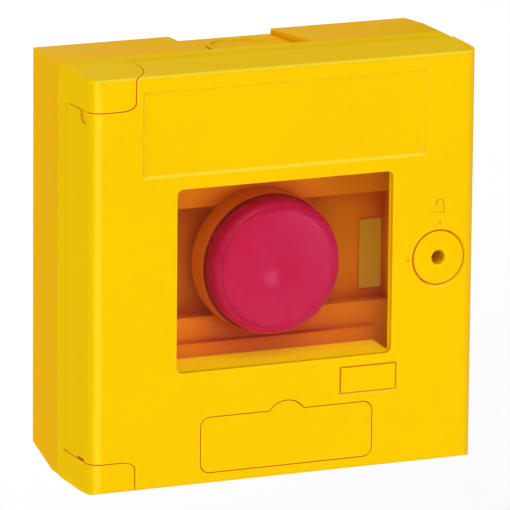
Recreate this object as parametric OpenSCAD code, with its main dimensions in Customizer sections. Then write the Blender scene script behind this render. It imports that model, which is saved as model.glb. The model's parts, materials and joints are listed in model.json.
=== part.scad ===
// Wall-mounted manual call point: a shallow square box with a hinged, glazed door
// in front of a mushroom push button.
// X is right as seen from the front, +Y runs into the wall, +Z is up.
// The origin is the middle of the wall face. Modules measure depth from the front
// face, and from_front() moves them so that the wall face lies on Y = 0.

/* [Box] */
// Width of the front face
body_w = 125; // [122:1:130]
// Height of the front face
body_h = 126.6; // [124:0.2:130]
// Depth from the front face to the wall
body_d = 51; // [51:1:60]
// How far the sides flare outwards on their way back to the ridge
flare = 0.95; // [0.6:0.05:1.2]
// Depth of the ridge, where the box is widest
ridge_d = 24.3; // [24.3:0.1:25]
// Wall thickness of the box
wall_t = 2.2; // [1.8:0.1:2.6]

/* [Door] */
// Depth of the door's skirt
door_d = 17.3; // [16.8:0.1:17.3]
// Thickness of the door's front plate
plate_t = 2.4; // [2.2:0.1:2.6]
// Radius of the two upright front edges
edge_r = 3.8; // [2:0.1:4.5]
// Radius of the top and bottom front edges
lip_r = 1.6; // [1:0.1:2.5]
// Width of the window
window_w = 70.3; // [66:0.1:71]
// Height of the window
window_h = 56.5; // [54:0.1:57]
// Width of the parting gaps round the knuckles and the flap
gap = 0.35; // [0.3:0.05:0.5]

/* [Knuckles] */
// Radius of the curved side of a knuckle
knuckle_r = 15.4; // [15:0.1:15.6]
// Radius under a knuckle's free edge
knuckle_fillet = 2.2; // [1.5:0.1:2.5]
// Lowest point of the top knuckle
knuckle_top = 53.5; // [53:0.1:54]
// Highest point of the bottom knuckle, below the centre
knuckle_bottom = 54.2; // [54:0.1:55]

/* [Button] */
// Radius of the mushroom head
head_r = 21; // [19:0.5:21.5]
// Depth of the head's face
head_face = 4.2; // [4.2:0.1:4.6]
// Radius of the stem
stem_r = 5; // [5]
// Travel of the button
travel = 4.5; // [4:0.1:4.5]

/* [Lock] */
// Distance of the lock's axis from the centre line
lock_x = 50.5; // [50.5]
// Radius of the lock's round opening in the door
lock_r = 8.55; // [8.4:0.05:8.7]

/* [Flap] */
// Left edge of the service flap
flap_x0 = -27; // [-28:0.1:-26]
// Right edge of the service flap
flap_x1 = 28.8; // [28:0.1:29]
// Lower edge of the service flap
flap_z0 = -59.7; // [-59.8:0.1:-59.5]
// Upper edge of the service flap
flap_z1 = -42.8; // [-43.5:0.1:-42]

/* [Wall fixing] */
// Distance between wall screws across
fix_w = 76; // [70:1:80]
// Distance between wall screws upwards
fix_h = 84; // [80:1:88]
// Radius of a wall screw hole
fix_r = 2.6; // [2.1:0.1:2.8]
// Radius of the rear cable entry
entry_r = 10.2; // [8.2:0.1:10.4]
// Height of the rear cable entry above the centre
entry_z = 38; // [36:0.5:40]

/* [Hidden] */
$fn = 96;
big = 80;
shell_yellow = "#F2C80A";
inner_orange = "#C8760F";
slope = flare / ridge_d;
half_w = body_w / 2;
half_h = body_h / 2;
frame_d = 17.9;
web_d = 22.6;
back_t = 2.4;
floor_d = body_d - back_t;
hinge_x = -56.5;
hinge_d = 6;
knuckle_x = -57.9;
knuckle_d = 12.4;
pin_r = 2;
running = 0.05;
plate_d = 20.6;
channel_half = 17;
channel_floor = 27;
pane_d = 1.8;
pane_t = 1.4;
retainer_d = 3.6;
flap_r = 2.8;
flap_axis_z = flap_z0 + flap_r;
flap_axis_d = 1.2;
flap_pin_r = 0.6;
post_x = 54.5;
post_z = 45;
plate_screw_x = 48;
plate_screw_z = 50;
retainer_screw_x = 39.7;
retainer_screw_z = 33.4;
lock_screw_z = 12;
keeper_screw_x = 54.5;
keeper_screw_z = 3.5;
terminal_x = 13;
terminal_z = 7.75;
board_x = 39.5;
retainer_half_w = 41.9;
retainer_half_h = 35.6;
board_z = [-16.6, 11.5];
led_z = [-8.5, 1.2];
rear_d = 34;
head_rear_d = 13.4;
flange_d = head_rear_d + travel + 0.3;
collar_floor_d = 19.2;
bar_t = 0.8;
closed_bar_d = 40.6;
open_bar_d = 37.4;
strip_d = [closed_bar_d - bar_t - 0.1, open_bar_d + bar_t + travel + 0.1];
notch_d = ridge_d + 1;
notch_floor_z = 61.6;
blank_d = 37.5;

// ---- placing and shaping helpers ----

module from_front() translate([0, -body_d, 0]) children();

// Block between two corners
module block(x0, x1, d0, d1, z0, z1) translate([x0, d0, z0]) cube([x1 - x0, d1 - d0, z1 - z0]);

// Cylinder along the depth
module rod_d(x, z, d0, d1, r) translate([x, d0, z]) rotate([-90, 0, 0]) cylinder(h = d1 - d0, r = r);

// Cylinder along X
module rod_x(d, z, x0, x1, r) translate([x0, d, z]) rotate([0, 90, 0]) cylinder(h = x1 - x0, r = r);

// Cylinder along Z
module rod_z(x, d, z0, z1, r) translate([x, d, z0]) cylinder(h = z1 - z0, r = r);

// Extrude an outline drawn in the front view (X, Z) from depth d0 to d1
module from_face(d0, d1) translate([0, d1, 0]) rotate([90, 0, 0]) linear_extrude(d1 - d0) children();

// Extrude an outline drawn in plan (X, depth) over the whole height
module from_plan(z0 = -big, z1 = big) translate([0, 0, z0]) linear_extrude(z1 - z0) children();

// Extrude an outline drawn in side view (depth, Z) from x0 to x1
module from_side(x0 = -big, x1 = big)
    translate([x0, 0, 0]) rotate([90, 0, 90]) linear_extrude(x1 - x0) children();

// Turn an outline drawn as (radius, depth) about the button's axis
module turned() rotate([-90, 0, 0]) rotate_extrude() children();

module ring_d(x, z, d0, d1, outer, inner) {
    difference() {
        rod_d(x, z, d0, d1, outer);
        rod_d(x, z, d0 - 1, d1 + 1, inner);
    }
}

module rounded(x0, x1, z0, z1, r) {
    translate([x0 + r, z0]) square([x1 - x0 - 2 * r, z1 - z0]);
    translate([x0, z0 + r]) square([x1 - x0, z1 - z0 - 2 * r]);
    for (x = [x0 + r, x1 - r], z = [z0 + r, z1 - r]) translate([x, z]) circle(r);
}

// Four copies at plus and minus x and z
module at_corners(x, z) for (sx = [-1, 1], sz = [-1, 1]) translate([sx * x, 0, sz * z]) children();

// A screw with its head in front, drawn at X = Z = 0
module screw(head_r, head_d, head_t, shank_r, end_d) {
    difference() {
        union() {
            rod_d(0, 0, head_d, head_d + head_t, head_r);
            rod_d(0, 0, head_d + head_t, end_d, shank_r);
        }
        block(-head_r * 0.65, head_r * 0.65, head_d - 1, head_d + head_t * 0.5, -0.25, 0.25);
        block(-0.25, 0.25, head_d - 1, head_d + head_t * 0.5, -head_r * 0.65, head_r * 0.65);
    }
}

// A screw driven from behind, its head against seat_d and its tip at tip_d
module rear_screw(head_r, seat_d, head_t, shank_r, tip_d) {
    slot_d = seat_d + head_t * 0.5;
    difference() {
        rod_d(0, 0, seat_d, seat_d + head_t, head_r);
        block(-head_r * 0.65, head_r * 0.65, slot_d, slot_d + 4, -0.25, 0.25);
        block(-0.25, 0.25, slot_d, slot_d + 4, -head_r * 0.65, head_r * 0.65);
    }
    rod_d(0, 0, tip_d, seat_d, shank_r);
}

// Outline of the flared front part: half width at the front, rounded front edges
module flared_outline(half, r, d1) {
    side_at_r = half + slope * r;
    side_at_d1 = half + slope * d1;
    polygon([
        [-(half - r), 0], [half - r, 0], [side_at_r, r], [side_at_d1, d1],
        [-side_at_d1, d1], [-side_at_r, r]
    ]);
    for (s = [-1, 1]) translate([s * (side_at_r - r), r]) circle(r);
}

// Solid outer form of the front part, from the front face back to d1
module front_form(d1) {
    intersection() {
        from_plan() flared_outline(half_w, edge_r, d1);
        from_side() rotate(90) mirror([0, 1]) flared_outline(half_h, lip_r, d1);
        from_face(-1, d1 + 1) rounded(-half_w - 1, half_w + 1, -half_h - 1, half_h + 1, 2.4);
    }
}

// A tapered solid between two depths
module tapered(d0, d1, x0, x1, bottom0, bottom1, top0, top1) {
    intersection() {
        from_plan() polygon([[-x0, d0], [x0, d0], [x1, d1], [-x1, d1]]);
        from_side() polygon([[d0, -bottom0], [d0, top0], [d1, top1], [d1, -bottom1]]);
    }
}

// A shallow field sunk into the front face, with sloping banks
module sunk_field(x0, x1, z0, z1, deep) {
    intersection() {
        from_plan() polygon([[x0 - 1, -1], [x1 + 1, -1], [x1 - deep, deep], [x0 + deep, deep]]);
        from_side() polygon([[-1, z0 - 1], [-1, z1 + 1], [deep, z1 - deep], [deep, z0 + deep]]);
    }
}

// Space taken by the top knuckle, grown by e for the door's parting gap
module knuckle_zone(e, end_z) {
    f = knuckle_fillet + e;
    r = knuckle_r + e;
    z = end_z - e;
    translate([knuckle_x, knuckle_d, z]) rotate_extrude() {
        square([r - f, big - z]);
        translate([0, f]) square([r, big - z - f]);
        translate([r - f, f]) circle(f);
    }
}

module both_knuckle_zones(e) {
    knuckle_zone(e, knuckle_top);
    mirror([0, 0, 1]) knuckle_zone(e, knuckle_bottom);
}

// ---- the box ----

module back_box() color(shell_yellow) from_front() {
    outer_x = half_w + flare;
    outer_z = half_h + flare;
    // how far the sides, the bottom and the top draw in towards the wall
    side_in = 2.2;
    bottom_in = 4.85;
    top_in = 1.05;
    difference() {
        union() {
            difference() {
                intersection() {
                    tapered(
                        ridge_d, body_d, outer_x, outer_x - side_in,
                        outer_z, outer_z - bottom_in, outer_z, outer_z - top_in
                    );
                    from_face(ridge_d, body_d) rounded(-outer_x, outer_x, -outer_z, outer_z, 3);
                }
                tapered(
                    ridge_d - 1, floor_d, outer_x - wall_t, outer_x - wall_t - side_in,
                    outer_z - wall_t, outer_z - wall_t - bottom_in, outer_z - 4.6, outer_z - 5.2
                );
            }
            at_corners(post_x, post_z) rod_d(0, 0, ridge_d, floor_d + 0.5, 4);
            at_corners(fix_w / 2, fix_h / 2) rod_d(0, 0, floor_d - 4, floor_d + 0.5, 5.5);
        }
        at_corners(post_x, post_z) rod_d(0, 0, ridge_d - 1, 38, 1.5);
        at_corners(fix_w / 2, fix_h / 2) rod_d(0, 0, floor_d - 5, body_d + 1, fix_r);
        rod_d(0, entry_z, floor_d - 1, body_d + 1, entry_r);
        // notch across the top edge, behind the ridge
        translate([0, 0, notch_floor_z]) linear_extrude(10)
            polygon([[-18.6, notch_d], [19.2, notch_d], [16.2, body_d + 1], [-15.6, body_d + 1]]);
        // its left end slopes
        translate([0, body_d + 1, 0]) rotate([90, 0, 0]) linear_extrude(body_d + 1 - notch_d)
            polygon([[-15.6, notch_floor_z], [-18.1, notch_floor_z + 2.5], [-15, notch_floor_z + 4]]);
        rod_z(0, blank_d, notch_floor_z - 10, notch_floor_z + 1, 8);
    }
}

module cable_blank() color(shell_yellow) from_front() difference() {
    union() {
        rod_z(0, blank_d, notch_floor_z, notch_floor_z + 0.7, 9.8);
        rod_z(0, blank_d, notch_floor_z - 3.4, notch_floor_z, 7.95);
    }
    rod_z(0, blank_d, notch_floor_z + 0.2, notch_floor_z + 2, 8.4);
    rod_z(0, blank_d, notch_floor_z - 4, notch_floor_z - 1.4, 6.6);
}

module hinge_frame() color(shell_yellow) from_front() {
    outer_x = half_w + flare;
    outer_z = half_h + flare;
    flat_d = 22.4;
    difference() {
        union() {
            difference() {
                intersection() {
                    union() {
                        tapered(
                            frame_d, flat_d, outer_x - 1.15, outer_x,
                            outer_z - 1.15, outer_z, outer_z - 1.15, outer_z
                        );
                        block(-outer_x, outer_x, flat_d, ridge_d, -outer_z, outer_z);
                    }
                    from_face(frame_d, ridge_d) rounded(-outer_x, outer_x, -outer_z, outer_z, 3);
                }
                block(-60.3, 60.3, frame_d - 1, web_d, -61.1, 61.1);
                block(-45.2, 45.2, frame_d - 1, ridge_d + 1, -47.5, 47.5);
            }
            intersection() {
                front_form(ridge_d);
                both_knuckle_zones(0);
            }
        }
        // room for the door's rear edge to swing
        rod_z(hinge_x, hinge_d, -knuckle_bottom, knuckle_top, 12.95);
        rod_z(hinge_x, hinge_d, knuckle_top - 1, knuckle_top + 6, pin_r);
        rod_z(hinge_x, hinge_d, -knuckle_bottom - 6, -knuckle_bottom + 1, pin_r);
        at_corners(post_x, post_z) rod_d(0, 0, web_d - 1, ridge_d + 1, 1.5);
        at_corners(plate_screw_x, plate_screw_z) rod_d(0, 0, web_d - 1, ridge_d + 1, 1.1);
        for (z = [-keeper_screw_z, keeper_screw_z]) rod_d(keeper_screw_x, z, web_d - 1, ridge_d + 1, 1.1);
    }
}

module frame_screws() color("silver") from_front() at_corners(post_x, post_z) screw(2.9, 20.6, 2, 1.5, 37);

module hinge_pins() color("silver") from_front() {
    rod_z(hinge_x, hinge_d, 45.5, knuckle_top + 5.8, pin_r);
    rod_z(hinge_x, hinge_d, -knuckle_bottom - 5.8, -46, pin_r);
}

module wall_screw_seals() color("dimgray") from_front()
    at_corners(fix_w / 2, fix_h / 2) ring_d(0, 0, floor_d - 5.4, floor_d - 4, 5.5, fix_r + 0.2);

// ---- inner plate and keeper ----

module inner_plate() color(inner_orange) from_front() {
    w = 1.4;
    cx = 43.4;
    difference() {
        union() {
            from_face(plate_d, web_d) rounded(-50.6, 50.6, -52.4, 52.4, 2);
            block(-cx - w, cx + w, plate_d, channel_floor + 1.8, -channel_half - w, channel_half + w);
            // rib below the channel, behind the retainer's lip
            block(-37.5, 37.2, 17.4, plate_d + 0.5, -28.6, -24.3);
        }
        block(-cx, cx, plate_d - 1, channel_floor, -channel_half, channel_half);
        rod_d(0, 0, channel_floor - 1, channel_floor + 3, 11.1);
        block(36.4, 42.7, channel_floor - 1, channel_floor + 3, -13.9, 6.6);
        at_corners(plate_screw_x, plate_screw_z) rod_d(0, 0, plate_d - 1, web_d + 1, 1.1);
        for (z = board_z) rod_d(board_x, z, channel_floor + 1.8, channel_floor + 3, 0.9);
    }
    for (z = board_z) ring_d(board_x, z, channel_floor + 1.8, 31, 1.8, 0.9);
}

module plate_screws() color("silver") from_front()
    at_corners(plate_screw_x, plate_screw_z) screw(2.2, 19.2, 1.4, 1.1, ridge_d);

module lock_keeper() color("silver") from_front() {
    difference() {
        block(51.2, 60.1, 21.2, web_d, -6, 6);
        for (z = [-keeper_screw_z, keeper_screw_z]) rod_d(keeper_screw_x, z, 20, 24, 1.1);
    }
    block(59.1, 60.1, 9, 21.2, -6, 6);
    block(56.6, 59.1, 9, 11, -6, 6);
}

module keeper_screws() color("silver") from_front()
    for (z = [-keeper_screw_z, keeper_screw_z])
        translate([keeper_screw_x, 0, z]) screw(2, 19.8, 1.4, 1.1, ridge_d);

// ---- button, fixed pieces ----

module mushroom_collar() color(inner_orange) from_front() {
    ring_d(0, 0, 12.3, collar_floor_d, 22, 21.3);
    ring_d(0, 0, collar_floor_d, plate_d, 22, 11);
}

module button_bush() color("dimgray") from_front() {
    difference() {
        union() {
            rod_d(0, 0, flange_d, collar_floor_d, 14.5);
            rod_d(0, 0, collar_floor_d, rear_d + 0.8, 10.95);
        }
        rod_d(0, 0, 15, rear_d + 2, stem_r + running);
    }
}

module bush_nut() color("dimgray") from_front() {
    difference() {
        translate([0, 28.8, 0]) rotate([-90, 0, 0]) cylinder(h = 3.2, r = 15, $fn = 6);
        rod_d(0, 0, 28, 33, 10.95);
    }
}

module return_spring() color("silver") from_front() ring_d(0, 0, 8.4, flange_d - 0.1, 8.3, 7.2);

module contact_bracket() color("dimgray") from_front() {
    difference() {
        from_face(32.2, rear_d) rounded(-20, 20, -13, 13, 2);
        rod_d(0, 0, 32, 35, 11);
    }
}

module contact_housing() color("dimgray") from_front() {
    rear = 46.8;
    difference() {
        block(-19, 19, rear_d, rear, -19, 19);
        block(-17.6, 17.6, rear_d + 1.4, rear + 1, -17.6, 17.6);
        rod_d(0, 0, rear_d - 1, rear_d + 2, 11.1);
        // wire windows, above and below the terminals
        for (x = [-terminal_x, terminal_x]) block(x - 2.8, x + 2.8, 40.4, 46, -20, 20);
    }
    // partition between the two switches
    block(-0.6, 0.6, 40.2, rear, -17.6, 17.6);
    // posts that carry the fixed contacts
    for (side = [0, 1], s = [-1, 1])
        ring_d((2 * side - 1) * terminal_x, s * terminal_z, rear_d + 1, strip_d[side], 2.4, 1.2);
}

module contact_cover() color("darkgray") from_front() {
    difference() {
        block(-19, 19, 46.8, 48.2, -19, 19);
        at_corners(terminal_x, terminal_z) rod_d(0, 0, 46, 49, 2);
    }
}

// Strip from a contact pad to its terminal; side is -1 or 1
module contact_strip(side, d) {
    for (s = [-1, 1]) difference() {
        translate([side * 9.1, d, s * terminal_z]) translate([-6.1, 0, -1.9]) cube([12.2, bar_t, 3.8]);
        rod_d(side * terminal_x, s * terminal_z, d - 1, d + 2, 1.2);
    }
}

module fixed_contacts() color("goldenrod") from_front() {
    contact_strip(-1, strip_d[0]);
    contact_strip(1, strip_d[1]);
}

module terminal_screws() color("silver") from_front()
    at_corners(terminal_x, terminal_z) rear_screw(2.4, 44.8, 1.7, 1.2, 38);

module contact_springs() color("silver") from_front()
    for (x = [-4, 4]) ring_d(x, 0, 41.7, 46.7, 2.4, 1.8);

// ---- indicator ----

module indicator_lens() color("#B8B040") from_front() {
    from_face(26.4, channel_floor) rounded(35.9, 43.2, -14.4, 7.1, 0.8);
    block(36.5, 42.6, channel_floor, 29.2, -13.8, 6.5);
}

module indicator_board() color("darkgreen") from_front() {
    difference() {
        block(board_x - 5.6, board_x + 5.6, 31, 32.6, -19.4, 14.5);
        for (z = board_z) rod_d(board_x, z, 30, 34, 0.9);
    }
}

module indicator_leds() color("ivory") from_front() for (z = led_z) rod_d(board_x, z, 29.4, 31, 2.3);

module board_screws() color("silver") from_front() for (z = board_z)
    translate([board_x, 0, z]) rear_screw(1.8, 32.6, 1.2, 0.9, 29.2);

// ---- door ----

// Outline of the flap in the front view, grown by e
module flap_outline(e) {
    bump_r = 6.7;
    bump_rise = 2.9;
    mid = (flap_x0 + flap_x1) / 2;
    rounded(flap_x0 - e, flap_x1 + e, flap_z0 - e, flap_z1 + e, flap_r + e);
    translate([mid, flap_z1 + bump_rise - bump_r]) circle(bump_r + e);
}

// Padlock sign and two key positions, engraved to a depth
module lock_marks(deep) from_face(-1, deep) {
    translate([lock_x, 11]) circle(0.6);
    translate([lock_x - 10.4, 0]) circle(0.6);
    translate([lock_x - 1.7, 14]) square([3.4, 2.6]);
    difference() {
        translate([lock_x, 17]) circle(1.5);
        translate([lock_x, 17]) circle(0.9);
        translate([lock_x - 2, 14]) square([4, 2.7]);
    }
}

module door_shell() color(shell_yellow) from_front() {
    t = 2;
    difference() {
        union() {
            difference() {
                front_form(door_d);
                // hollow behind the front plate
                intersection() {
                    block(-big, big, plate_t, big, -big, big);
                    tapered(
                        0, big, half_w - t, half_w - t + slope * big,
                        half_h - t, half_h - t + slope * big, half_h - t, half_h - t + slope * big
                    );
                }
            }
            // card pocket behind the flap
            block(flap_x0 - 2.6, flap_x1 + 2.6, plate_t - 0.5, 6.6, -61.5, -38.3);
            // pad that carries the lock
            block(42.1, 59.4, plate_t - 0.5, 4, -15, 15);
            // bosses for the retainer's screws
            at_corners(retainer_screw_x, retainer_screw_z) rod_d(0, 0, plate_t - 0.5, retainer_d, 1.9);
            // hinge eyes
            for (z = [46.2, -knuckle_bottom + gap]) {
                rod_z(hinge_x, hinge_d, z, z + 6.9, 4.2);
                block(-61, hinge_x + 4.2, plate_t - 0.5, hinge_d, z, z + 6.9);
            }
        }
        both_knuckle_zones(gap);
        rod_z(hinge_x, hinge_d, -big, big, pin_r + running);
        // window and the rebate for its pane
        from_face(-1, plate_t + 1) rounded(-window_w / 2, window_w / 2, -window_h / 2, window_h / 2, 2);
        from_face(pane_d - 0.1, plate_t + 0.01) rounded(-38.3, 38.3, -31.7, 31.7, 1);
        // label field
        sunk_field(-46.3, 46.1, 32.2, 58.8, 0.8);
        // seat of the blank badge
        sunk_field(18, 37.3, -40.1, -30.9, 0.6);
        // lock opening with a chamfered rim
        rod_d(lock_x, 0, -1, 5, lock_r);
        translate([lock_x, -0.1, 0]) rotate([-90, 0, 0]) cylinder(h = 0.7, r1 = lock_r + 0.7, r2 = lock_r);
        for (z = [-lock_screw_z, lock_screw_z]) rod_d(lock_x, z, 1.2, 5, 1);
        at_corners(retainer_screw_x, retainer_screw_z) rod_d(0, 0, 1.2, 4, 0.9);
        // pocket under the flap and the hole for its pin
        from_face(-1, 5) flap_outline(gap);
        rod_x(flap_axis_d, flap_axis_z, flap_x0 - 2, flap_x1 + 2, flap_pin_r);
        // dimple below the top knuckle and slot above the bottom one
        rod_x(hinge_d, 51.8, -half_w - 1, -half_w + 0.2, 2.6);
        block(-half_w - 1, -60, 5.2, 10, -60, -53.1);
        // engraved marks beside the lock
        lock_marks(0.25);
    }
}

module window_pane() color("#F0E8D0", 0.35) from_front()
    from_face(pane_d, pane_d + pane_t) rounded(-38, 38, -31.4, 31.4, 1);

module pane_gasket() color("dimgray") from_front() {
    from_face(pane_d + pane_t, retainer_d) difference() {
        rounded(-38, 38, -31.4, 31.4, 1);
        rounded(-36.4, 36.4, -29.4, 29.4, 1);
    }
}

module pane_retainer() color(shell_yellow) from_front() {
    rear = retainer_d + 1.8;
    difference() {
        from_face(retainer_d, rear) difference() {
            rounded(-retainer_half_w, retainer_half_w, -retainer_half_h, retainer_half_h, 2.4);
            rounded(-36.2, 36.2, -29, 29, 1.4);
        }
        at_corners(retainer_screw_x, retainer_screw_z) rod_d(0, 0, 3, 6, 0.9);
    }
    // deep lower lip that catches broken glass
    from_side(-37, 36.6) polygon([[rear, -29], [16.9, -28.4], [16.9, -30], [rear, -30.8]]);
}

module retainer_screws() color("silver") from_front()
    at_corners(retainer_screw_x, retainer_screw_z) rear_screw(1.9, retainer_d + 1.8, 1.2, 0.9, 1.4);

module blank_badge() color(shell_yellow) from_front() block(18.75, 36.55, 0.1, 0.6, -39.35, -31.65);

module lock_bush() color("dimgray") from_front() {
    difference() {
        union() {
            from_face(4, 5.6) rounded(lock_x - 8, lock_x + 8, -15, 15, 2);
            rod_d(lock_x, 0, 5.6, 8.6, 7.6);
        }
        rod_d(lock_x, 0, 3, 9, 6 + running);
        for (z = [-lock_screw_z, lock_screw_z]) rod_d(lock_x, z, 3, 6, 1);
    }
}

module lock_bush_screws() color("silver") from_front() for (z = [-lock_screw_z, lock_screw_z])
    translate([lock_x, 0, z]) rear_screw(2, 5.6, 1.4, 1, 1.4);

module flap_pin() color("silver") from_front()
    rod_x(flap_axis_d, flap_axis_z, flap_x0 - 1.9, flap_x1 + 1.9, flap_pin_r);

module service_flap() color(shell_yellow) from_front() {
    difference() {
        intersection() {
            union() {
                block(-big, big, 0, 2, -big, 0);
                rod_x(flap_axis_d, flap_axis_z, -big, big, flap_axis_d + 0.1);
            }
            from_face(0, 4) flap_outline(0);
        }
        rod_x(flap_axis_d, flap_axis_z, -big, big, flap_pin_r + running);
    }
}

// ---- lock, turning pieces ----

module lock_barrel() color(shell_yellow) from_front() {
    difference() {
        union() {
            rod_d(lock_x, 0, 0.3, 3.8, lock_r - 0.3);
            rod_d(lock_x, 0, 3.8, 8.7, 6);
            rod_d(lock_x, 0, 8.7, 11.5, 4.5);
            block(lock_x - 2.5, lock_x + 2.5, 11.5, 13.6, -2.5, 2.5);
        }
        rod_d(lock_x, 0, -1, 8.2, 2.2);
        rod_d(lock_x, 0, 9.6, 14, 1.25);
    }
}

module lock_cam() color("silver") from_front() {
    difference() {
        union() {
            rod_d(lock_x, 0, 11.5, 13.3, 5);
            block(lock_x - 3, lock_x + 3, 11.5, 13.3, -7.6, 0);
        }
        block(lock_x - 2.5, lock_x + 2.5, 11, 14, -2.5, 2.5);
    }
}

module cam_screw() color("silver") from_front()
    translate([lock_x, 0, 0]) rear_screw(3.4, 13.6, 1.4, 1.25, 9.7);

// ---- button, moving pieces ----

module mushroom_head() color("#CB1440") from_front() turned() {
    shoulder = 4;
    crown_r = 200;
    dimple_r = 27.7;
    difference() {
        union() {
            translate([0, head_face + 4.7]) square([head_r, head_rear_d - head_face - 4.7]);
            translate([head_r - shoulder, head_face + 4.7]) circle(shoulder);
            intersection() {
                translate([0, head_face]) square([head_r - shoulder, 6]);
                translate([0, head_face + crown_r]) circle(crown_r, $fn = 720);
            }
        }
        translate([-50, head_face - 10]) square([50, 40]);
        translate([0, head_face + 0.9 - dimple_r]) circle(dimple_r, $fn = 360);
        translate([18.4, head_face + 0.9]) circle(0.3, $fn = 24);
        translate([6.9, 8.2]) square([11.5, 20]);
        translate([0, 7]) square([stem_r + running, 20]);
    }
}

module button_stem() color("silver") from_front() rod_d(0, 0, 7.1, 35, stem_r);

// One switch's sliding carrier; side is -1 or 1
module carrier(side) {
    difference() {
        union() {
            translate([side * 2.8, 35.2, 0]) translate([-1.8, 0, -2.6]) cube([3.6, 1, 5.2]);
            translate([side * 4, 35.8, 0]) translate([-3, 0, -4.5]) cube([6, 5.8, 9]);
        }
        bridge(side);
    }
}

// Moving contact bar: the left switch opens and the right one closes when pushed
module bridge(side) {
    d = side < 0 ? closed_bar_d : open_bar_d;
    translate([side * 4, d, 0]) translate([-2, 0, -9.6]) cube([4, bar_t, 19.2]);
}

module contact_carriers() color("ivory") from_front() for (side = [-1, 1]) carrier(side);

module bridge_contacts() color("goldenrod") from_front() for (side = [-1, 1]) bridge(side);

back_box();
hinge_frame();
frame_screws();
hinge_pins();
wall_screw_seals();
cable_blank();
inner_plate();
plate_screws();
lock_keeper();
keeper_screws();
mushroom_collar();
button_bush();
bush_nut();
return_spring();
contact_bracket();
contact_housing();
contact_cover();
fixed_contacts();
terminal_screws();
contact_springs();
indicator_lens();
indicator_board();
indicator_leds();
board_screws();
door_shell();
window_pane();
pane_gasket();
pane_retainer();
retainer_screws();
blank_badge();
lock_bush();
lock_bush_screws();
flap_pin();
service_flap();
lock_barrel();
lock_cam();
cam_screw();
button_stem();
mushroom_head();
contact_carriers();
bridge_contacts();
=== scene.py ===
"""Looks of the wall-mounted manual call point: materials, mesh detail, studio light and camera.

Everything is in metres in the CAD frame: +X right, +Y into the wall, +Z up, and the origin lies
on the wall face.
"""
import json
import math

import bmesh
import bpy
from mathutils import Matrix, Vector


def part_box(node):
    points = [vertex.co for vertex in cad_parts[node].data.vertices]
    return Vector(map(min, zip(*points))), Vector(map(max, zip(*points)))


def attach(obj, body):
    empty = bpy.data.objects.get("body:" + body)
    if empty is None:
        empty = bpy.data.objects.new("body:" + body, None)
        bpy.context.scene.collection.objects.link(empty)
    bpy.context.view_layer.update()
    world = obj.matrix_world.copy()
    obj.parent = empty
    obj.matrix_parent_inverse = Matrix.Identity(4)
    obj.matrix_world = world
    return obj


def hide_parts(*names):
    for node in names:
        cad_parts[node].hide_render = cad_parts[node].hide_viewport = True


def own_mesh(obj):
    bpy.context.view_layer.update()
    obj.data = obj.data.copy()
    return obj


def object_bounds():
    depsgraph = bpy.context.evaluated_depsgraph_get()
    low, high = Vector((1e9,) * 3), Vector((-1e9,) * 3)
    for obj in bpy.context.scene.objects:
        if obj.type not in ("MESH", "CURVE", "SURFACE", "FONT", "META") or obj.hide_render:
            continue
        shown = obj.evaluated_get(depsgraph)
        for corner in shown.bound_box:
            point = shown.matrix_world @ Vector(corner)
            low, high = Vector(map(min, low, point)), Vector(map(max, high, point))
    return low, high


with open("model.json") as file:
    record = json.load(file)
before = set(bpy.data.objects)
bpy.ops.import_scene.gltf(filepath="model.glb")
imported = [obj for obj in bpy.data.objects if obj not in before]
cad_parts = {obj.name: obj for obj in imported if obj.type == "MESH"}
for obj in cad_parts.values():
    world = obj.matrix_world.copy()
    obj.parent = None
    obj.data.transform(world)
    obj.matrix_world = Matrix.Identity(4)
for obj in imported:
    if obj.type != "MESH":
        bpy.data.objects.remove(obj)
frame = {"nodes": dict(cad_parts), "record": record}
cad_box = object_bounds()

MM = 0.001
scene = bpy.context.scene
scene.view_settings.view_transform = "Standard"

# ---------------------------------------------------------------- measures taken from the frame

front_y = cad_box[0][1]
front_centre = Vector((0, front_y, 0))
head_low, head_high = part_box("mushroom_head")
head_radius = (head_high.x - head_low.x) / 2


def at_depth(depth_mm):
    """Y of a plane that lies this many millimetres behind the front face."""
    return front_y + depth_mm * MM


def depth_of(y):
    """Millimetres behind the front face."""
    return (y - front_y) / MM


# ---------------------------------------------------------------- material building blocks

# sockets of a Mix node that blends two colours
MIX_FIRST = 6
MIX_SECOND = 7
MIX_RESULT = 2


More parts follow.
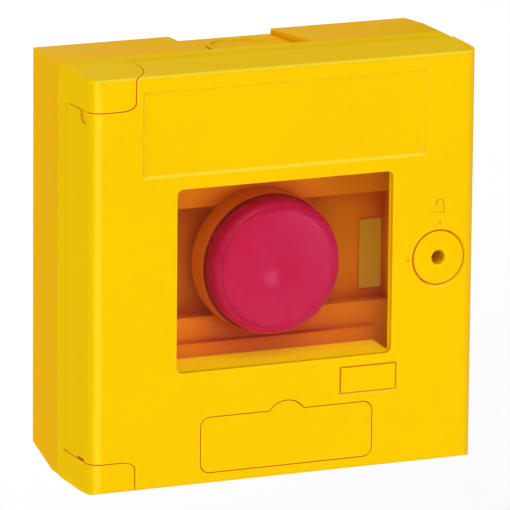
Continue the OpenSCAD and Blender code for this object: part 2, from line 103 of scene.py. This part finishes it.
class Shader:
    """A Principled material with helpers for procedural detail."""

    def __init__(self, name, colour, roughness, metallic=0.0):
        self.material = bpy.data.materials.new(name)
        self.material.use_nodes = True
        self.tree = self.material.node_tree
        self.surface = self.tree.nodes["Principled BSDF"]
        self.colour = colour
        self.surface.inputs["Metallic"].default_value = metallic
        self.surface.inputs["Roughness"].default_value = roughness
        self.surface.inputs["Base Color"].default_value = (*colour, 1)
        self.place = self.tree.nodes.new("ShaderNodeTexCoord").outputs["Object"]

    def node(self, kind, **values):
        made = self.tree.nodes.new(kind)
        for key, value in values.items():
            setattr(made, key, value)
        return made

    def link(self, source, target):
        self.tree.links.new(source, target)

    def set(self, **values):
        for key, value in values.items():
            self.surface.inputs[key.replace("_", " ")].default_value = value

    def noise(self, scale, detail=3.0, rough=0.5, stretch=(1, 1, 1)):
        mapping = self.node("ShaderNodeMapping")
        mapping.inputs["Scale"].default_value = stretch
        self.link(self.place, mapping.inputs["Vector"])
        texture = self.node("ShaderNodeTexNoise")
        texture.inputs["Scale"].default_value = scale
        texture.inputs["Detail"].default_value = detail
        texture.inputs["Roughness"].default_value = rough
        self.link(mapping.outputs["Vector"], texture.inputs["Vector"])
        return texture.outputs["Fac"]

    def edges(self, radius_mm):
        """1 on sharp edges and 0 on flat faces."""
        bevel = self.node("ShaderNodeBevel", samples=4)
        bevel.inputs["Radius"].default_value = radius_mm * MM
        dot = self.node("ShaderNodeVectorMath", operation="DOT_PRODUCT")
        self.link(bevel.outputs["Normal"], dot.inputs[0])
        self.link(self.node("ShaderNodeNewGeometry").outputs["Normal"], dot.inputs[1])
        return self.spread(dot.outputs["Value"], 1, 0, 0.8, 0.99)

    def crevices(self, distance_mm, start=0.35, end=0.9):
        """1 deep in narrow gaps and inner corners, 0 in the open."""
        node = self.node("ShaderNodeAmbientOcclusion", samples=8)
        node.inputs["Distance"].default_value = distance_mm * MM
        return self.spread(node.outputs["AO"], 1, 0, start, end)

    def facing(self, direction):
        """Cosine between the piece's own surface direction and a fixed one."""
        dot = self.node("ShaderNodeVectorMath", operation="DOT_PRODUCT")
        self.link(self.node("ShaderNodeTexCoord").outputs["Normal"], dot.inputs[0])
        dot.inputs[1].default_value = direction
        return dot.outputs["Value"]

    def attribute(self, name):
        """A face attribute that mark() has set."""
        return self.node("ShaderNodeAttribute", attribute_name=name).outputs["Fac"]

    def spread(self, source, low, high, start=0.35, end=0.65):
        """Map the span start to end of a source to the span low to high."""
        node = self.node("ShaderNodeMapRange")
        node.inputs["From Min"].default_value = start
        node.inputs["From Max"].default_value = end
        node.inputs["To Min"].default_value = low
        node.inputs["To Max"].default_value = high
        self.link(source, node.inputs["Value"])
        return node.outputs["Result"]

    def tint(self, factor, other):
        """Blend the base colour towards another one."""
        mix = self.node("ShaderNodeMix", data_type="RGBA")
        base = self.surface.inputs["Base Color"]
        if base.is_linked:
            self.link(base.links[0].from_socket, mix.inputs[MIX_FIRST])
        else:
            mix.inputs[MIX_FIRST].default_value = (*self.colour, 1)
        mix.inputs[MIX_SECOND].default_value = (*other, 1)
        self.link(factor, mix.inputs["Factor"])
        self.link(mix.outputs[MIX_RESULT], base)

    def roughen(self, source, low, high):
        self.link(self.spread(source, low, high), self.surface.inputs["Roughness"])

    def bump(self, source, height_mm):
        node = self.node("ShaderNodeBump")
        node.inputs["Distance"].default_value = height_mm * MM
        node.inputs["Strength"].default_value = 1.0
        self.link(source, node.inputs["Height"])
        self.link(node.outputs["Normal"], self.surface.inputs["Normal"])


def shaded(colour, factor):
    return tuple(c * factor for c in colour)


# ---------------------------------------------------------------- materials


def moulded(name, colour, roughness, grain_mm=0.006, darker=0.94, lighter=1.03):
    """Injection-moulded plastic: flow variation, fine speckle, uneven gloss and spark texture."""
    made = Shader(name, colour, roughness)
    made.tint(made.spread(made.noise(22, detail=2), 0, 1), shaded(colour, darker))
    made.tint(made.spread(made.noise(900, detail=2), 0, 0.5), shaded(colour, lighter))
    made.roughen(made.noise(60, detail=4), roughness - 0.05, roughness + 0.06)
    made.bump(made.noise(2600, detail=3, rough=0.6), grain_mm)
    return made


def shell_yellow():
    rear_shade_colour = (0.91, 0.49, 0.001)
    top_edge_highlight_dir, top_edge_highlight_colour = (0, -0.64, 0.77), (1.0, 0.79, 0.05)
    left_edge_highlight_dir, left_edge_highlight_colour = (-0.42, -0.91, 0), (1.0, 0.72, 0.03)
    right_side_shade_dir, right_side_shade_colour = (1, 0, 0), (0.80, 0.45, 0.02)
    edge_highlight_colour = (1.0, 0.74, 0.03)
    gap_shade_colour, deep_gap_shade_colour = (0.66, 0.30, 0.0), (0.62, 0.17, 0.0)
    gap_glow_colour, retainer_glow_colour = (0.55, 0.10, 0.0), (0.70, 0.46, 0.0)

    made = moulded("shell_yellow", (0.905, 0.575, 0.0012), 0.46, darker=0.97, lighter=1.015)
    # painted shade: the back box and cable blank are tinted darker and more orange, as their
    # sides look in shade
    made.tint(made.attribute("rear_painted_shade"), rear_shade_colour)
    # painted highlight along the top front edge, chosen by the surface's direction
    made.tint(made.spread(made.facing(top_edge_highlight_dir), 0, 0.75, 0.9, 1), top_edge_highlight_colour)
    # painted highlight along the left front edge, chosen by the surface's direction
    made.tint(made.spread(made.facing(left_edge_highlight_dir), 0, 0.5, 0.93, 1), left_edge_highlight_colour)
    # painted shade: faces turned to the right are tinted darker and more orange
    made.tint(made.spread(made.facing(right_side_shade_dir), 0, 0.7, 0.1, 0.8), right_side_shade_colour)
    # painted highlight: sharp edges are tinted lighter yellow
    made.tint(made.spread(made.edges(0.5), 0, 0.8, 0, 1), edge_highlight_colour)
    # painted shade: narrow gaps and inner corners are tinted dark orange
    deep = made.crevices(2.0, 0.35, 0.8)
    made.tint(made.spread(deep, 0, 0.85, 0, 0.5), gap_shade_colour)
    made.tint(made.spread(deep, 0, 0.85, 0.6, 1), deep_gap_shade_colour)
    # painted light: the narrow gaps and the pane's retainer glow orange, which brightens them
    glow = made.node("ShaderNodeMix", data_type="RGBA")
    glow.inputs[MIX_FIRST].default_value = (*gap_glow_colour, 1)
    glow.inputs[MIX_SECOND].default_value = (*retainer_glow_colour, 1)
    glow_mask = made.attribute("painted_glow")
    made.link(glow_mask, glow.inputs["Factor"])
    made.link(glow.outputs[MIX_RESULT], made.surface.inputs["Emission Color"])
    strength = made.node("ShaderNodeMath", operation="MAXIMUM")
    made.link(made.spread(deep, 0, 0.4, 0.6, 1), strength.inputs[0])
    made.link(made.spread(glow_mask, 0, 0.4, 0, 1), strength.inputs[1])
    made.link(strength.outputs[0], made.surface.inputs["Emission Strength"])
    made.set(IOR=1.45, Specular_IOR_Level=0.003)
    return made.material


def inner_orange():
    corner_shade_colour = (0.50, 0.055, 0.012)
    # painted shade: the inner plate's deep orange stands for yellow plastic seen in shade
    made = moulded("inner_orange", (0.90, 0.29, 0.004), 0.5, grain_mm=0.008)
    # painted shade: corners and recesses of the inner plate are tinted dark red
    made.tint(made.spread(made.crevices(14, 0.35, 0.85), 0, 1, 0, 1), corner_shade_colour)
    # painted light: a faint orange glow brightens the inner plate
    made.set(Specular_IOR_Level=0.02, Emission_Color=(1.0, 0.17, 0.0, 1), Emission_Strength=0.04)
    return made.material


def head_crimson():
    edge_highlight_colour = (0.68, 0.03, 0.09)
    groove_shade_colour = (0.22, 0.002, 0.02)
    made = moulded("head_crimson", (0.54, 0.003, 0.044), 0.27, grain_mm=0.002)
    # painted highlight: edges are tinted lighter crimson
    made.tint(made.spread(made.edges(0.4), 0, 0.3, 0, 1), edge_highlight_colour)
    # painted shade: the groove and other narrow hollows are tinted dark
    made.tint(made.spread(made.crevices(1.2), 0, 0.7, 0, 1), groove_shade_colour)
    made.set(IOR=1.5, Specular_IOR_Level=0.12)
    return made.material


def metal(name, colour, roughness, stretch=(1, 1, 1)):
    """Plated or turned metal; the stretch draws the grain out along the working direction."""
    grain = 700
    made = Shader(name, colour, roughness, metallic=1.0)
    made.tint(made.spread(made.noise(120, detail=3), 0, 0.6), shaded(colour, 0.8))
    made.roughen(made.noise(grain, 3, 0.6, stretch), roughness - 0.08, roughness + 0.1)
    made.bump(made.noise(grain * 2, 2, 0.5, stretch), 0.003)
    return made.material


def rubber():
    made = Shader("seal_rubber", (0.03, 0.03, 0.032), 0.75)
    made.tint(made.spread(made.noise(300, detail=2), 0, 0.6), (0.055, 0.052, 0.05))
    made.roughen(made.noise(500, detail=3), 0.68, 0.85)
    made.bump(made.noise(1800, detail=2), 0.01)
    return made.material


def clear_pane():
    made = Shader("clear_pane", (0.95, 0.93, 0.88), 0.05)
    made.roughen(made.noise(40, detail=4), 0.03, 0.09)
    made.bump(made.noise(14, detail=2), 0.02)
    made.set(Alpha=0.06, IOR=1.49, Transmission_Weight=1.0)
    return made.material


def lens_green():
    lens_side_shade_colour = (0.60, 0.15, 0.006)
    made = moulded("lens_green", (0.66, 0.37, 0.012), 0.3, grain_mm=0.004)
    # painted shade: the lens's side walls are tinted darker orange-brown
    made.tint(made.spread(made.facing((0, -1, 0)), 1, 0, 0.6, 0.9), lens_side_shade_colour)
    made.set(IOR=1.49, Specular_IOR_Level=0.1)
    # painted light: a faint amber glow brightens the lens
    made.set(Emission_Color=(0.75, 0.45, 0.02, 1), Emission_Strength=0.1)
    return made.material


def board_green():
    made = Shader("board_green", (0.02, 0.16, 0.06), 0.35)
    made.tint(made.spread(made.noise(260, detail=2), 0, 0.5), (0.03, 0.22, 0.09))
    made.roughen(made.noise(300, detail=3), 0.3, 0.42)
    made.bump(made.noise(900, detail=2), 0.004)
    return made.material


def build_materials():
    dark = moulded("dark_plastic", (0.035, 0.035, 0.04), 0.45, darker=0.8, lighter=1.3)
    grey = moulded("grey_plastic", (0.22, 0.22, 0.23), 0.45, darker=0.9, lighter=1.1)
    ivory = moulded("ivory_plastic", (0.8, 0.76, 0.62), 0.4, grain_mm=0.004)
    epoxy = moulded("led_epoxy", (0.85, 0.83, 0.7), 0.2, grain_mm=0.002)
    return {
        "shell_yellow": shell_yellow(),
        "inner_orange": inner_orange(),
        "head_crimson": head_crimson(),
        "lens_green": lens_green(),
        "clear_pane": clear_pane(),
        "seal_rubber": rubber(),
        "dark_plastic": dark.material,
        "grey_plastic": grey.material,
        "ivory_plastic": ivory.material,
        "led_epoxy": epoxy.material,
        "board_green": board_green(),
        "screw_steel": metal("screw_steel", (0.62, 0.62, 0.6), 0.32),
        "zinc_plate": metal("zinc_plate", (0.55, 0.55, 0.52), 0.38, stretch=(1, 6, 1)),
        "spring_steel": metal("spring_steel", (0.5, 0.5, 0.5), 0.28),
        "contact_brass": metal("contact_brass", (0.78, 0.56, 0.25), 0.3, stretch=(1, 1, 8)),
        "stem_metal": metal("stem_metal", (0.7, 0.7, 0.71), 0.28, stretch=(1, 12, 1)),
    }


materials = build_materials()
slot_of = {part["node"]: part["material_slot"] for part in frame["record"]["subparts"]}

# ---------------------------------------------------------------- CAD nodes

# widths of the small rounded edges, in mm; every other node has FINE_EDGE_MM
EDGE_MM = {
    "door_shell": 0.3, "hinge_frame": 0.3, "back_box": 0.35, "service_flap": 0.35,
    "lock_barrel": 0.3, "pane_retainer": 0.25, "inner_plate": 0.3, "mushroom_collar": 0.25,
    "cable_blank": 0.25, "window_pane": 0.1, "pane_gasket": 0.08, "blank_badge": 0.15,
}
FINE_EDGE_MM = 0.12
WELD_MM = 0.002
FLAT_DEGREES = 0.4
BEVEL_DEGREES = 32


def dress_cad_node(name, edge_mm):
    """Give a CAD node its material and small moulded or machined edge radii."""
    obj = frame["nodes"][name]
    mesh = obj.data
    for shading in ("custom_normal", "sharp_face"):
        if shading in mesh.attributes:
            mesh.attributes.remove(mesh.attributes[shading])
    mesh.materials.clear()
    mesh.materials.append(materials[slot_of[name]])
    weld = obj.modifiers.new("weld", "WELD")
    weld.merge_threshold = WELD_MM * MM
    flatten = obj.modifiers.new("flatten", "DECIMATE")
    flatten.decimate_type = "DISSOLVE"
    flatten.angle_limit = math.radians(FLAT_DEGREES)
    bevel = obj.modifiers.new("edge", "BEVEL")
    bevel.width = edge_mm * MM
    bevel.segments = 2
    bevel.limit_method = "ANGLE"
    bevel.angle_limit = math.radians(BEVEL_DEGREES)
    bevel.harden_normals = True


def mark(node_name, attribute):
    """Set a face attribute that the shell's material reads."""
    mesh = frame["nodes"][node_name].data
    values = mesh.attributes.new(attribute, "FLOAT", "FACE")
    values.data.foreach_set("value", [1.0] * len(mesh.polygons))


for node_name in frame["nodes"]:
    dress_cad_node(node_name, EDGE_MM.get(node_name, FINE_EDGE_MM))

# painted shade on the back box and cable blank, read by the shell's material
mark("back_box", "rear_painted_shade")
mark("cable_blank", "rear_painted_shade")
# painted light: the pane retainer's faces are made to glow by the shell's material
mark("pane_retainer", "painted_glow")

# ---------------------------------------------------------------- mesh helpers


def new_piece(name, bm, slot, body, replaces=()):
    """Make an object from a bmesh, give it the slot's material and let it ride on its body."""
    mesh = bpy.data.meshes.new(name)
    bm.to_mesh(mesh)
    bm.free()
    mesh.materials.append(materials[slot])
    piece = bpy.data.objects.new(name, mesh)
    scene.collection.objects.link(piece)
    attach(piece, body)
    for node_name in replaces:
        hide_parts(node_name)
    return piece


def arc(centre, radius, start, end, steps):
    """Points (r, depth) on an arc, angles in degrees from +r towards +depth."""
    out = []
    for i in range(steps + 1):
        angle = math.radians(start + (end - start) * i / steps)
        out.append((centre[0] + radius * math.cos(angle), centre[1] + radius * math.sin(angle)))
    return out


def lathe(bm, profile, steps):
    """Turn a closed profile of (radius, depth) in mm about the Y axis."""
    rings = []
    for k in range(steps):
        angle = 2 * math.pi * k / steps
        ring = []
        for r, depth in profile:
            x = r * MM * math.cos(angle)
            z = r * MM * math.sin(angle)
            ring.append(bm.verts.new((x, at_depth(depth), z)))
        rings.append(ring)
    for k in range(steps):
        a, b = rings[k], rings[(k + 1) % steps]
        for i in range(len(profile)):
            j = (i + 1) % len(profile)
            bm.faces.new((a[i], a[j], b[j], b[i]))
    bmesh.ops.remove_doubles(bm, verts=bm.verts, dist=0.001 * MM)
    bmesh.ops.recalc_face_normals(bm, faces=bm.faces)


def smooth(bm, sharp_degrees):
    """Shade smooth, with edges sharp where the faces turn more than this."""
    for face in bm.faces:
        face.smooth = True
    limit = math.radians(sharp_degrees)
    for edge in bm.edges:
        edge.smooth = len(edge.link_faces) == 2 and edge.calc_face_angle(0) < limit


# ---------------------------------------------------------------- mushroom head


def head_profile():
    """Outline of the head in (radius, depth) mm, from the centre of the face to the bore."""
    radius = head_radius / MM
    face = depth_of(head_low.y)
    rear = depth_of(head_high.y)
    axis_r = 0.02
    crown = 200.0
    dimple_r, dimple_deep = 7.2, 0.8
    groove_r = radius - 2.6
    shoulder, rim = 3.4, 0.6
    skirt_in, skirt_round = 18.4, 0.5
    hub_out, hub_round = 6.9, 0.4
    recess, recess_round, hub_fillet = 8.2, 1.2, 0.8
    bore_r, bore_floor = 5.06, 7.05

    def crown_depth(r):
        return face + crown - math.sqrt(crown * crown - r * r)

    points = []
    for i in range(13):
        r = axis_r + (dimple_r - axis_r) * i / 12
        fall = 0.5 + 0.5 * math.cos(math.pi * r / dimple_r)
        points.append((r, crown_depth(r) + dimple_deep * fall))
    for i in range(1, 9):
        r = dimple_r + (groove_r - 0.5 - dimple_r) * i / 8
        points.append((r, crown_depth(r)))
    groove_d = crown_depth(groove_r)
    points += [(groove_r - 0.3, groove_d + 0.06), (groove_r - 0.12, groove_d + 0.28)]
    points += [(groove_r + 0.1, groove_d + 0.3), (groove_r + 0.3, groove_d + 0.12)]
    points += arc((radius - shoulder, groove_d + 0.1 + shoulder), shoulder, -72, 0, 14)
    points += [(radius, rear - 2 * rim)]
    points += arc((radius - rim, rear - rim), rim, 0, 90, 4)
    points += [(skirt_in + skirt_round, rear), (skirt_in, rear - skirt_round)]
    points += [(skirt_in, recess + recess_round), (skirt_in - recess_round, recess)]
    points += [(hub_out + hub_fillet, recess), (hub_out, recess + hub_fillet)]
    points += [(hub_out, rear - hub_round), (hub_out - hub_round, rear)]
    points += [(5.4, rear), (bore_r, rear - 0.3), (bore_r, bore_floor), (axis_r, bore_floor)]
    return points


def mushroom_head():
    bm = bmesh.new()
    lathe(bm, head_profile(), 160)
    smooth(bm, 30)
    new_piece("push_head", bm, "head_crimson", "head", ["mushroom_head"])


mushroom_head()

# ---------------------------------------------------------------- springs


def coil(bm, centre_x, depths, coil_radii, wire_r, turns):
    """A compression spring along Y with closed end turns, in mm; conical if its radii differ."""
    per_turn, around = 32, 8
    start, end = depths[0] + wire_r, depths[1] - wire_r
    count = turns * per_turn
    rings = []
    for i in range(count + 1):
        along = i / per_turn
        if along < 1:
            rise = along * 2 * wire_r
        elif along > turns - 1:
            rise = end - start - (turns - along) * 2 * wire_r
        else:
            share = (along - 1) / (turns - 2)
            rise = 2 * wire_r + share * (end - start - 4 * wire_r)
        angle = 2 * math.pi * along
        coil_r = coil_radii[0] + (coil_radii[1] - coil_radii[0]) * i / count
        ring = []
        for k in range(around):
            turn = 2 * math.pi * k / around
            r = (coil_r + wire_r * math.cos(turn)) * MM
            depth = start + rise + wire_r * math.sin(turn)
            x = centre_x * MM + r * math.cos(angle)
            z = r * math.sin(angle)
            ring.append(bm.verts.new((x, at_depth(depth), z)))
        rings.append(ring)
    for a, b in zip(rings, rings[1:]):
        for k in range(around):
            j = (k + 1) % around
            bm.faces.new((a[k], a[j], b[j], b[k]))
    bm.faces.new(rings[0])
    bm.faces.new(rings[-1][::-1])
    bmesh.ops.recalc_face_normals(bm, faces=bm.faces)
    smooth(bm, 50)


def springs():
    low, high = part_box("return_spring")
    bm = bmesh.new()
    coil(bm, 0, (depth_of(low.y), depth_of(high.y)), coil_radii=(7.75, 7.75), wire_r=0.4, turns=6)
    piece = new_piece("return_coil", bm, slot_of["return_spring"], "box", ["return_spring"])
    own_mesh(piece)
    low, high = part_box("contact_springs")
    depths = (depth_of(low.y), depth_of(high.y))
    for name, x in (("contact_coil_left", -4), ("contact_coil_right", 4)):
        bm = bmesh.new()
        coil(bm, x, depths, coil_radii=(1.2, 2.25), wire_r=0.14, turns=5)
        piece = new_piece(name, bm, slot_of["contact_springs"], "box", ["contact_springs"])
        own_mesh(piece)


springs()

# ---------------------------------------------------------------- camera, light and floor

CAMERA_YAW = math.radians(23.21)
CAMERA_PITCH = math.radians(13.91)
CAMERA_ROLL = math.radians(0.53)
CAMERA_DISTANCE = 2.036
CAMERA_LENS = 480
AIM_RIGHT = -0.00912
AIM_UP = 0.00515

FLOOR_HALF = 12
FLOOR_DROP = 0.30
FLOOR_GLOW = 0.15
WORLD_LIGHT = 0.3


def make_camera():
    """Look at the front from the left and above, with a long lens."""
    cos_pitch = math.cos(CAMERA_PITCH)
    ahead = Vector((
        math.sin(CAMERA_YAW) * cos_pitch,
        math.cos(CAMERA_YAW) * cos_pitch,
        -math.sin(CAMERA_PITCH),
    ))
    level_right = Vector((math.cos(CAMERA_YAW), -math.sin(CAMERA_YAW), 0))
    level_up = level_right.cross(ahead)
    right = level_right * math.cos(CAMERA_ROLL) + level_up * math.sin(CAMERA_ROLL)
    up = level_up * math.cos(CAMERA_ROLL) - level_right * math.sin(CAMERA_ROLL)
    place = front_centre + right * AIM_RIGHT + up * AIM_UP - ahead * CAMERA_DISTANCE
    data = bpy.data.cameras.new("camera")
    data.lens = CAMERA_LENS
    data.sensor_width = 36
    data.clip_end = 50
    camera = bpy.data.objects.new("camera", data)
    turn = Matrix((right, up, -ahead)).transposed().to_4x4()
    camera.matrix_world = Matrix.Translation(place) @ turn
    scene.collection.objects.link(camera)
    scene.camera = camera


def softbox(name, azimuth, elevation, distance, size, power, colour=(1, 1, 1)):
    """A square area light aimed at the object; azimuth 0 is in front, positive to the right."""
    az = math.radians(azimuth)
    el = math.radians(elevation)
    direction = Vector((math.sin(az) * math.cos(el), -math.cos(az) * math.cos(el), math.sin(el)))
    data = bpy.data.lights.new(name, "AREA")
    data.shape = "SQUARE"
    data.size = size
    data.energy = power
    data.color = colour
    light = bpy.data.objects.new(name, data)
    light.location = front_centre + direction * distance
    light.rotation_euler = direction.to_track_quat("Z", "Y").to_euler()
    scene.collection.objects.link(light)


def stage():
    """A plain pale floor and a white surrounding."""
    bm = bmesh.new()
    signs = ((-1, -1), (1, -1), (1, 1), (-1, 1))
    bm.faces.new([bm.verts.new((x * FLOOR_HALF, y * FLOOR_HALF, 0)) for x, y in signs])
    mesh = bpy.data.meshes.new("floor")
    bm.to_mesh(mesh)
    bm.free()
    floor = bpy.data.objects.new("floor", mesh)
    floor.location.z = cad_box[0][2] - FLOOR_DROP
    scene.collection.objects.link(floor)
    paint = Shader("floor_paint", (0.96, 0.96, 0.96), 0.9)
    paint.tint(paint.spread(paint.noise(2, detail=2), 0, 1), (0.95, 0.95, 0.95))
    paint.set(Emission_Color=(1, 1, 1, 1), Emission_Strength=FLOOR_GLOW)
    mesh.materials.append(paint.material)
    world = bpy.data.worlds.new("studio")
    world.use_nodes = True
    background = world.node_tree.nodes["Background"]
    background.inputs["Color"].default_value = (1, 1, 1, 1)
    background.inputs["Strength"].default_value = WORLD_LIGHT
    scene.world = world


def lights():
    violet = (0.6, 0.5, 1.0)
    # the violet sheen on the right of the head
    softbox("sheen", azimuth=36, elevation=0, distance=1.5, size=0.42, power=9, colour=violet)
    softbox("front", azimuth=-16, elevation=16, distance=2.2, size=1.0, power=6.5)
    softbox("above", azimuth=-10, elevation=55, distance=2.0, size=1.0, power=11.5)
    softbox("left", azimuth=-80, elevation=12, distance=2.0, size=1.0, power=8.5)
    # behind the object: keeps the floor in the background white
    softbox("backdrop", azimuth=180, elevation=30, distance=2.6, size=2.4, power=38)


make_camera()
stage()
lights()
